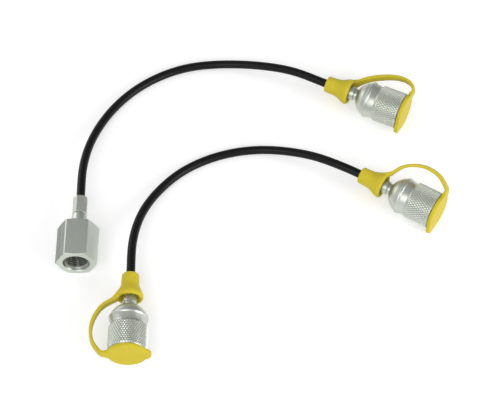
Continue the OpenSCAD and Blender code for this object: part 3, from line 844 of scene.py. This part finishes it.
def nut_outline():
    """Outline from the front end of the thread, over the outside, to its back end."""
    root = GRIP_R - KNURL_DEPTH
    dome_front = (9.45, RIDGE_BACK - 2.05)
    dome = bulged((5.1, NUT_BACK), dome_front, 0.42)
    relief_r, groove_r = M16_MINOR_R + 0.3, M16_MINOR_R + 0.7
    inside = [
        (JOURNAL_HOLE_R, NUT_BACK, 0.2), (JOURNAL_HOLE_R, NUT_BACK + 4.2, 0.1),
        (relief_r, NUT_BACK + 4.2, 0.2),
        (relief_r, RING_BACK - 0.1, 0), (groove_r, RING_BACK - 0.1, 0.1),
        (groove_r, RING_FRONT + 0.1, 0.1), (relief_r, RING_FRONT + 0.1, 0),
        (relief_r, THREAD_BACK - 2.5, 0.1), (MOUTH_R, THREAD_BACK - 2.5, 0.3),
        (MOUTH_R, THREAD_BACK - 0.6, 0.2), (M16_MINOR_R, THREAD_BACK, 0),
    ]
    outside = [
        (M16_MINOR_R, THREAD_FRONT, 0), (MOUTH_R, MOUTH_BACK, 0.1),
        (MOUTH_R, NUT_FRONT, 0.15), (root - 0.35, NUT_FRONT, 0.15),
        (root, NUT_FRONT - 0.5, 0.2), (root, GRIP_BACK + 0.3, 0.15),
        (9.8, GRIP_BACK - 0.7, 0.4), (10.1, GRIP_BACK - 2.6, 0.8),
        (GRIP_R - 0.45, RIDGE_FRONT - 0.1, 0.3), (GRIP_R, RIDGE_FRONT - 0.7, 0.4),
        (GRIP_R, RIDGE_BACK + 0.4, 0.3), (GRIP_R - 0.4, RIDGE_BACK, 0.12),
    ]
    # Two narrow steps that the form tool leaves between the ridge and the dome
    steps = [
        (10.25, RIDGE_BACK - 0.25, 0.1), (10.15, RIDGE_BACK - 0.9, 0.12),
        (9.85, RIDGE_BACK - 1.05, 0.08), (9.75, RIDGE_BACK - 1.75, 0.12),
        (9.45, RIDGE_BACK - 1.9, 0.08), (*dome_front, 0),
    ]
    rear = list(reversed(dome)) + [(5.1, NUT_BACK, 0.3)]
    return rounded(outside + steps + rear + inside)


def union_nut(fitting):
    name = fitting.name + "_union_nut"
    material = knurled_steel_painted_tips[fitting.name]
    wall = grown("thread", inside_thread, minor_radius=M16_MINOR_R,
                 depth=M16_MAJOR_R - M16_MINOR_R, pitch=M16_PITCH, start=THREAD_BACK,
                 length=THREAD_FRONT - THREAD_BACK, rings=50, material=material)
    body = joined("nut_body", [turned("nut_skin", nut_outline(), closed=False), wall])
    knurl = grown("knurl", diamond_knurl, radius=GRIP_R - KNURL_DEPTH,
                  height=KNURL_DEPTH, teeth=KNURL_TEETH, rows=KNURL_ROWS,
                  start=GRIP_BACK + 1.2, row_step=KNURL_STEP, material=material)
    mesh = joined(name, [body, knurl], merge=0, recalculate=False)
    piece = as_object(name, mesh, material, placed(fitting), sharp_deg=28)
    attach(piece, f"{fitting.name}_nut_body")
    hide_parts(f"{fitting.name}_nut")
    print(name, "has", len(mesh.polygons), "faces")


for fitting in COUPLINGS:
    union_nut(fitting)

# %% [markdown]
# ## Gauge adapter and its ferrule
# The adapter is cut from drawn hexagon bar. Its ends are chamfered on the lathe, which
# leaves the curved edge where the cone meets each flat. Behind the port's wide bevel is a
# parallel pipe thread, and behind that a runout and the seat of the seal. The ferrule
# beside it was a plain sleeve, until a die with eight jaws pressed it onto the hose and
# left eight flats along it. A hexagon and a sleeve with flats are the same job: turn an
# outline whose radius follows the angle.

# %% Gauge adapter
HEX_AF, HEX_CORNER = 21.0, 0.8
CHAMFER_R, CHAMFER_SLOPE = HEX_AF / 2 - 0.3, math.tan(math.radians(18))
GAUGE_COLLAR_R = 4.45
PORT_MINOR_R, PORT_MAJOR_R, PORT_PITCH = 6.4, 7.1, 1.337
PORT_WALL_R, PORT_END_R = 7.25, 6.1


def adapter_outline(hex_r):
    """Closed outline of the adapter where the hexagon's radius is hex_r."""
    cone = (hex_r - CHAMFER_R) * CHAMFER_SLOPE
    lip = PORT_WALL_R - PORT_MINOR_R
    return rounded([
        (0.5, 0.5, 0), (0.95, 0.5, 0.1), (0.95, GAUGE_GRIP, 0), (2.2, GAUGE_GRIP, 0.1),
        (2.2, COLLAR_BACK_G, 0), (GAUGE_COLLAR_R, COLLAR_BACK_G, 0.5),
        (GAUGE_COLLAR_R, HEX_BACK, 0.35), (CHAMFER_R, HEX_BACK, 0.25),
        (hex_r, HEX_BACK + cone, 0.25), (hex_r, HEX_FRONT - cone, 0.25),
        (CHAMFER_R, HEX_FRONT, 0.25), (PORT_MOUTH_R, HEX_FRONT, 0.2),
        (PORT_WALL_R, PORT_THREAD_FRONT + lip, 0), (PORT_WALL_R, PORT_THREAD_BACK - lip, 0),
        (PORT_END_R, PORT_THREAD_BACK - lip - 0.5, 0.1), (PORT_END_R, PORT_BACK, 0.3),
        (1.0, PORT_BACK, 0.1),
        (1.0, GAUGE_GRIP + 2, 0), (0.5, GAUGE_GRIP + 1.5, 0),
    ])


def columns(name, flats, across, corner, outline_at):
    """Skin whose outline changes with the angle, as on a hexagon or a crimped sleeve."""
    angles = flats_angles(flats, across, corner)
    outlines = [outline_at(flats_radius(a, flats, across, corner)) for a in angles]
    rings = [[(o[i][0] * math.cos(a), o[i][0] * math.sin(a), o[i][1])
              for a, o in zip(angles, outlines)] for i in range(len(outlines[0]))]
    return mesh_of_rings(name, rings, closed=True)


def gauge_adapter():
    body = joined("adapter_body",
                  [columns("adapter_skin", 6, HEX_AF, HEX_CORNER, adapter_outline)])
    wall = grown("thread", inside_thread, minor_radius=PORT_MINOR_R,
                 depth=PORT_MAJOR_R - PORT_MINOR_R, pitch=PORT_PITCH,
                 start=PORT_THREAD_BACK, length=PORT_THREAD_FRONT - PORT_THREAD_BACK,
                 fade=0.5, rings=108, material=drawn_steel)
    lip = PORT_WALL_R - PORT_MINOR_R
    sleeve = turned("thread_back", [
        (PORT_MINOR_R, PORT_THREAD_FRONT), (PORT_WALL_R, PORT_THREAD_FRONT + lip),
        (PORT_WALL_R, PORT_THREAD_BACK - lip), (PORT_MINOR_R, PORT_THREAD_BACK)],
        closed=False)
    mesh = joined("gauge_adapter_hexagon", [body, joined("thread_ring", [sleeve, wall])],
                  merge=0, recalculate=False)
    piece = as_object("gauge_adapter_hexagon", mesh, drawn_steel, placed(GAUGE),
                      sharp_deg=24)
    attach(piece, "hoses")
    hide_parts("gauge_adapter")
    print(piece.name, "has", len(mesh.polygons), "faces")


gauge_adapter()

# %% Crimped gauge ferrule
FERRULE_R, CRIMP_FLAT_R, CRIMP_CORNER = 4.35, 4.05, 0.35
FERRULE_BORE_R, FERRULE_FRONT, LOCK_R = 2.6, 11.4, 2.25


def ferrule_outline(crimped_r):
    """Closed outline of the ferrule where the die left it at crimped_r."""
    r = min(crimped_r, FERRULE_R)
    lip_back = FERRULE_FRONT - 1.2
    return rounded([
        (FERRULE_BORE_R, 0, 0.1), (r - 0.3, 0, 0.15), (r, 0.35, 0.15),
        (r, FERRULE_FRONT - 0.15, 0.1), (r - 0.15, FERRULE_FRONT, 0.1),
        (LOCK_R, FERRULE_FRONT, 0), (LOCK_R, lip_back, 0), (FERRULE_BORE_R, lip_back, 0),
    ])


def crimped_ferrule():
    skin = columns("ferrule_skin", 8, 2 * CRIMP_FLAT_R, CRIMP_CORNER, ferrule_outline)
    piece = as_object("gauge_crimped_ferrule", joined("gauge_crimped_ferrule", [skin]),
                      steel["gauge"], placed(GAUGE), sharp_deg=24)
    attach(piece, "hoses")
    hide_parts("gauge_ferrule")
    print(piece.name, "has", len(piece.data.polygons), "faces")


crimped_ferrule()

# %% [markdown]
# ## Yellow mouldings
# Boot, strap and cap leave the mould as one soft piece, with generous fillets wherever
# two forms meet. Such fillets are hard to draw and easy to grow: the plain forms are laid
# into each other, a voxel remesh makes one skin of them, and smoothing rounds every inner
# and outer corner, as the mould does. Then the skin is cut twice across the strap, into a
# boot that stays, a strap and a cap that turns. The cut faces fit each other, so at rest
# the moulding looks whole.

# %% Forms of the moulding
STRAP_W, STRAP_T, LOOP_STEP = 5.5, 2.0, 0.9
CAP_T, CAP_R = 2.3, 11.0
PLUG_R, PLUG_BACK = 7.8, MOUTH_BACK + 0.3
HINGE_R = CAP_R + 1.4
BOOT_R, SKIRT_R = 4.9, 7.8
SLEEVE_END_R, SLEEVE_LEN = 5.2, 7.8
SKIRT_LIP = 1.5
BOOT_BORE_R, HOSE_HOLE_R = 4.1, 2.7
TAB_R, TAB_REACH, TAB_FLARE = 5.0, 2.3, 4.0
STRAP_LOOP = [
    (SKIRT_R + 0.4, SKIRT_FRONT + 0.6), (SKIRT_R + 3.2, SKIRT_FRONT + 2.2),
    (SKIRT_R + 6.9, NUT_BACK - 0.8), (GRIP_R + 7.3, NUT_BACK + 3.6),
    (GRIP_R + 9.6, NUT_BACK + 9.5), (GRIP_R + 9.8, NUT_BACK + 15.9),
    (GRIP_R + 8.1, NUT_FRONT - 6), (GRIP_R + 4.9, NUT_FRONT - 1.1),
    (GRIP_R + 2.6, NUT_FRONT + 1.2), (HINGE_R, CAP_BACK + CAP_T / 2),
]


def leaning(lean):
    """The strap's loop, with its bow hung over towards the cap."""
    last = len(STRAP_LOOP) - 1
    shares = [lean * math.sin(math.pi * i / last) ** 2 for i in range(last + 1)]
    return [(r - 0.2 * s, z + s) for (r, z), s in zip(STRAP_LOOP, shares)]


def boot_form():
    """Sleeve on the ferrule and flared skirt, with a funnel round the stem's collar."""
    lip = arc((SKIRT_R - SKIRT_LIP, SKIRT_FRONT - SKIRT_LIP), SKIRT_LIP, 0, 100, 8)
    outline = rounded([
        (HOSE_HOLE_R, 0, 0.3), (BOOT_R, 0, 0.9), (SLEEVE_END_R, SLEEVE_LEN, 2.2),
        (SKIRT_R - 0.3, SKIRT_FRONT - 2 * SKIRT_LIP, 0.8), *[(r, z, 0) for r, z in lip],
        (BOOT_BORE_R, SKIRT_FRONT - 3.2, 0.3), (BOOT_BORE_R, 1.2, 0),
        (HOSE_HOLE_R, 1.2, 0),
    ], steps=5)
    return joined("boot_form", [turned("boot_form", outline)])


def lug_form():
    """Wedge between the skirt and the root of the strap, in the boot's own turn."""
    tip = np.array(STRAP_LOOP[0])
    way = np.array(STRAP_LOOP[1]) - tip
    way /= np.linalg.norm(way)
    side = np.array((-way[1], way[0])) * STRAP_T / 2
    wedge = [tip + side + way, tip - side + way, (BOOT_R, SKIRT_FRONT - 7),
             (BOOT_R - 0.35, SKIRT_FRONT - 4.5), (SKIRT_R - 0.7, SKIRT_FRONT - 0.9)]
    half = STRAP_W / 2
    return capped("lug_form", [[(p[0], y, p[1]) for p in wedge] for y in (-half, half)])


def strap_form(fitting):
    """Band swept along its loop, turning evenly from the boot's roll to the cap's."""
    twist = math.radians(fitting.cap_roll - fitting.boot_roll)
    loop = natural_spline([(r, z, 0) for r, z in leaning(fitting.lean)], LOOP_STEP)[:, :2]
    share = np.linspace(0, 1, len(loop))
    turn = -twist * (1 - share)
    line = np.stack([loop[:, 0] * np.cos(turn), loop[:, 0] * np.sin(turn), loop[:, 1]], 1)
    ways = np.gradient(line, axis=0)
    ways /= np.linalg.norm(ways, axis=1)[:, None]
    across = np.stack([-np.sin(turn), np.cos(turn), np.zeros(len(turn))], 1)
    across -= ways * np.sum(across * ways, axis=1)[:, None]
    across /= np.linalg.norm(across, axis=1)[:, None]
    thick = np.cross(across, ways)
    # The band widens and thickens a little into the boot
    to_boot = np.clip(1 - share / 0.16, 0, 1) ** 2
    corners = ((1, 1), (-1, 1), (-1, -1), (1, -1))
    rings = []
    for i in range(len(line)):
        w = (STRAP_W - 0.7 * (1 - to_boot[i])) / 2
        t = (STRAP_T - 0.1 * (1 - to_boot[i])) / 2
        rings.append([line[i] + a * w * across[i] + b * t * thick[i] for a, b in corners])
    rings.insert(0, [p - ways[0] * 1.5 for p in rings[0]])
    rings.append([p + Vector((-1.6, 0, 0)) for p in map(Vector, rings[-1])])
    return capped("strap_form", rings)


def cap_plan():
    """Outline of the cap in plan: strap root, disc and pull tab flow into each other."""
    root_x, root_y, root_flare = HINGE_R + 0.3, STRAP_W / 2 - 0.3, 3.0
    root_c = (math.sqrt((CAP_R + root_flare) ** 2 - (root_y + root_flare) ** 2),
              root_y + root_flare)
    root_a = math.degrees(math.atan2(root_c[1], root_c[0]))
    tab_x = CAP_R + TAB_REACH - TAB_R
    disc_side, tab_side = CAP_R + TAB_FLARE, TAB_R + TAB_FLARE
    disc_a = math.degrees(math.acos((tab_x ** 2 + disc_side ** 2 - tab_side ** 2)
                                    / (2 * tab_x * disc_side)))
    tab_c = (-disc_side * math.cos(math.radians(disc_a)),
             disc_side * math.sin(math.radians(disc_a)))
    tab_a = math.degrees(math.atan2(tab_c[1], -tab_c[0] - tab_x))
    half = ([(root_x, root_y)]
            + arc(root_c, root_flare, -90, root_a - 180, 6)
            + arc((0, 0), CAP_R, root_a + 5, 175 - disc_a, 24)
            + arc(tab_c, TAB_FLARE, -disc_a, -tab_a, 6))
    return (half + arc((-tab_x, 0), TAB_R, 175 - tab_a, 185 + tab_a, 14)
            + [(x, -y) for x, y in reversed(half)])


def cap_form():
    """Plate of the cap with its hollow plug."""
    plate = capped("plate", [[(x, y, z) for x, y in cap_plan()]
                             for z in (CAP_BACK, CAP_BACK + CAP_T)])
    plug = joined("plug", [turned("plug", rounded([
        (PLUG_R - 1.8, CAP_BACK + 0.6, 0), (PLUG_R - 1.8, PLUG_BACK, 0.4),
        (PLUG_R - 0.4, PLUG_BACK, 0.5), (PLUG_R, CAP_BACK + 0.6, 0)]), sides=64)])
    return [plate, plug]


print("The cap's plan has", len(cap_plan()), "points")

# %% Grow the skin and cut it
VOXEL, SMOOTHING = 0.3, 14
CUT_REACH = 4.5
# The cap is cut from the strap across this point, close to the hinge, so that the bow stays
# with the strap and the cap's root goes with the cap
FOLD_END = Vector((HINGE_R - 0.2, 0, CAP_BACK + CAP_T / 2))


def one_skin(name, forms, matrices):
    """Voxel skin over all forms, smoothed, in mm."""
    bm = bmesh.new()
    for form, matrix in zip(forms, matrices):
        copy = form.copy()
        copy.transform(matrix)
        bm.from_mesh(copy)
    mesh = bpy.data.meshes.new(name)
    bm.to_mesh(mesh)
    bm.free()
    host = in_scene(name, mesh)
    remesh = host.modifiers.new("remesh", "REMESH")
    remesh.mode = "VOXEL"
    remesh.voxel_size = VOXEL
    smooth = host.modifiers.new("smooth", "SMOOTH")
    smooth.factor = 0.5
    smooth.iterations = SMOOTHING
    return applied(host)


def cut_across(bm, point, normal, reach):
    """Splits the skin on a plane, only within reach of the point."""
    near = [f for f in bm.faces if (f.calc_center_median() - point).length < reach]
    edges = {e for f in near for e in f.edges}
    verts = {v for f in near for v in f.verts}
    found = bmesh.ops.bisect_plane(bm, geom=[*verts, *edges, *near], dist=1e-5,
                                   plane_co=point, plane_no=normal)
    seam = [e for e in found["geom_cut"] if isinstance(e, bmesh.types.BMEdge)]
    bmesh.ops.split_edges(bm, edges=seam)


def islands(bm):
    """Groups of connected faces, the largest first."""
    left, found = set(bm.faces), []
    while left:
        start = left.pop()
        group, stack = {start}, [start]
        while stack:
            for edge in stack.pop().edges:
                for face in edge.link_faces:
                    if face in left:
                        left.discard(face)
                        group.add(face)
                        stack.append(face)
        found.append(group)
    return sorted(found, key=len, reverse=True)


def cut_moulding(skin, boot_cut, cap_cut):
    """Three closed meshes from the skin, in order along the axis: boot, strap and cap."""
    bm = bmesh.new()
    bm.from_mesh(skin)
    cut_across(bm, *boot_cut)
    cut_across(bm, *cap_cut)
    meshes = []
    for group in islands(bm)[:3]:
        part = bmesh.new()
        seen = {}
        for face in group:
            corners = []
            for v in face.verts:
                if v not in seen:
                    seen[v] = part.verts.new(v.co)
                corners.append(seen[v])
            part.faces.new(corners)
        rim = [e for e in part.edges if e.is_boundary]
        for edge in rim:
            edge.smooth = False
        bmesh.ops.holes_fill(part, edges=rim, sides=0)
        mesh = bpy.data.meshes.new("part")
        part.to_mesh(mesh)
        part.free()
        meshes.append(mesh)
    bm.free()
    return sorted(meshes, key=lambda m: np.mean([v.co.z for v in m.vertices]))


def moulding(fitting):
    """Boot, strap and cap of one coupling."""
    twist = math.radians(fitting.cap_roll - fitting.boot_roll)
    boot_turn = Matrix.Rotation(-twist, 4, "Z")
    still = Matrix.Identity(4)
    forms = [boot_form(), lug_form(), strap_form(fitting), *cap_form()]
    skin = one_skin(fitting.name + "_skin", forms,
                    [boot_turn, boot_turn, still, still, still])
    tip, second = (Vector((r, 0, z)) for r, z in leaning(fitting.lean)[:2])
    boot_cut = (boot_turn @ (tip + (second - tip) * 0.3), boot_turn @ (second - tip),
                CUT_REACH)
    cap_cut = (FOLD_END, Vector((1, 0, 0)), CUT_REACH)
    matrix = placed(fitting, fitting.cap_roll)
    pieces = {}
    for title, mesh in zip(("boot", "strap", "cap"), cut_moulding(skin, boot_cut, cap_cut)):
        node = f"{fitting.name}_{title}"
        mesh.name = node + "_moulding"
        pieces[title] = as_object(node + "_moulding", mesh, yellow_plastic, matrix)
        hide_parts(node)
    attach(pieces["boot"], "hoses")
    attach(pieces["cap"], f"{fitting.name}_cap_body")
    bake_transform(pieces["strap"])
    print(fitting.name, "moulding:", {k: len(p.data.polygons) for k, p in pieces.items()})


for fitting in COUPLINGS:
    moulding(fitting)

# %% [markdown]
# ## Pieces that keep their CAD mesh
# The stems, hidden ferrules, snap rings, O-rings, pins and the gauge's seal are plain
# turned parts, and their CAD meshes are as good as new ones. They only need their
# finishes. Spring steel is darker and oily, and the stem has the same plating as the nut.

# %% Finishes on CAD nodes
SPRING_GREYS = (0.16, 0.165, 0.18), (0.27, 0.28, 0.30)


def finish_node(node, material):
    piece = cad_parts[node]
    piece.data.materials.clear()
    piece.data.materials.append(material)


for fitting in COUPLINGS:
    spring = plated_steel(f"spring_steel_{fitting.name}", fitting, tint=SPRING_GREYS)
    for part in ("stem", "ferrule", "pin"):
        finish_node(f"{fitting.name}_{part}", steel[fitting.name])
    finish_node(f"{fitting.name}_snap_ring", spring)
    finish_node(f"{fitting.name}_o_ring", seal_rubber)
finish_node("gauge_seal", seal_rubber)
print("CAD nodes still shown:", sum(not n.hide_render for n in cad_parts.values()))

# %% [markdown]
# ## Table and light
# The hoses lie on a white table under soft light. White comes from the table's own colour
# and from a little glow that only the camera, reflections and transmission see, never
# from more light on the hoses, so their shadows stay. Satin metal shows what stands round
# it: the white table below, and above it a grey room that is a little lighter near the
# horizon and darkest at the back right. Three soft lamps light it: a low key at the
# right, a higher fill at the front left and a weak window at the back left. The change
# from lamp to dark corner round a barrel is what gives round metal its form.

# %% Table
TABLE_WIDTH, TABLE_GREY, TABLE_GLOW = 6.0, 0.8, 0.36


def seen_directly(graph):
    """1 for camera, mirror and transmission rays, and 0 for the rest."""
    path = graph.add("ShaderNodeLightPath").outputs
    return graph.math("MAXIMUM", path["Is Camera Ray"],
                      graph.math("MAXIMUM", path["Is Glossy Ray"],
                                 path["Is Transmission Ray"]))


def white_table():
    half = TABLE_WIDTH / 2
    mesh = bpy.data.meshes.new("table")
    mesh.from_pydata([(-half, -half, 0), (half, -half, 0), (half, half, 0),
                      (-half, half, 0)], [], [(0, 1, 2, 3)])
    finish = Finish("white_table", specular=0.0)
    finish.paint((TABLE_GREY, TABLE_GREY, TABLE_GREY, 1), 0.9)
    glow = finish.add("ShaderNodeEmission", {
        "Color": (1, 1, 1, 1),
        "Strength": finish.math("MULTIPLY", seen_directly(finish), TABLE_GLOW)})
    both = finish.add("ShaderNodeAddShader", {
        0: finish.shader.outputs["BSDF"], 1: glow.outputs["Emission"]})
    finish.feed(finish.tree.nodes["Material Output"].inputs["Surface"],
                both.outputs["Shader"])
    mesh.materials.append(finish.material)
    floor = in_scene("table", mesh)


white_table()
print("The table is", TABLE_WIDTH, "m wide")

# %% Studio
HORIZON_LEVEL, CEILING_LEVEL, BACK_DIMMING = 0.64, 0.5, 0.5
AIM = Vector((0, 0.01, 0))


def studio_world():
    """White to the camera; to everything else a grey room, darkest at the back right."""
    world = bpy.data.worlds.new("studio")
    world.use_nodes = True
    bpy.context.scene.world = world
    graph = Graph(world.node_tree)
    way = graph.add("ShaderNodeSeparateXYZ", {
        "Vector": graph.add("ShaderNodeTexCoord").outputs["Generated"]}).outputs
    rise = graph.add("ShaderNodeMapRange", {
        "Value": way["Z"], "From Min": 0.0, "From Max": 0.8, "To Min": HORIZON_LEVEL,
        "To Max": CEILING_LEVEL}, interpolation_type="SMOOTHSTEP").outputs[0]
    back_right = graph.math("MAXIMUM", graph.math(
        "MULTIPLY_ADD", way["X"], 0.6, graph.math("MULTIPLY", way["Y"], 0.8)), 0.0)
    dimmed = graph.math("MULTIPLY_ADD", graph.math("MULTIPLY", back_right, back_right),
                        -BACK_DIMMING, 1.0)
    camera_ray = graph.add("ShaderNodeLightPath").outputs["Is Camera Ray"]
    background = world.node_tree.nodes["Background"]
    background.inputs["Color"].default_value = (1, 1, 1, 1)
    graph.feed(background.inputs["Strength"], graph.math(
        "MAXIMUM", graph.math("MULTIPLY", rise, dimmed), camera_ray))


def softbox(name, place, size, power):
    """Large soft lamp at a place in metres, turned towards the hoses."""
    lamp = bpy.data.lights.new(name, "AREA")
    lamp.shape = "RECTANGLE"
    lamp.size, lamp.size_y = size
    lamp.energy = power
    item = in_scene(name, lamp)
    item.location = place
    item.rotation_euler = (AIM - Vector(place)).to_track_quat("-Z", "Y").to_euler()


studio_world()
softbox("key", (1.05, -0.55, 0.5), (0.9, 0.7), 9.4)
softbox("fill", (-0.45, -0.85, 0.95), (0.9, 0.9), 6.6)
softbox("window", (-0.95, 0.6, 0.42), (0.8, 0.6), 2.4)
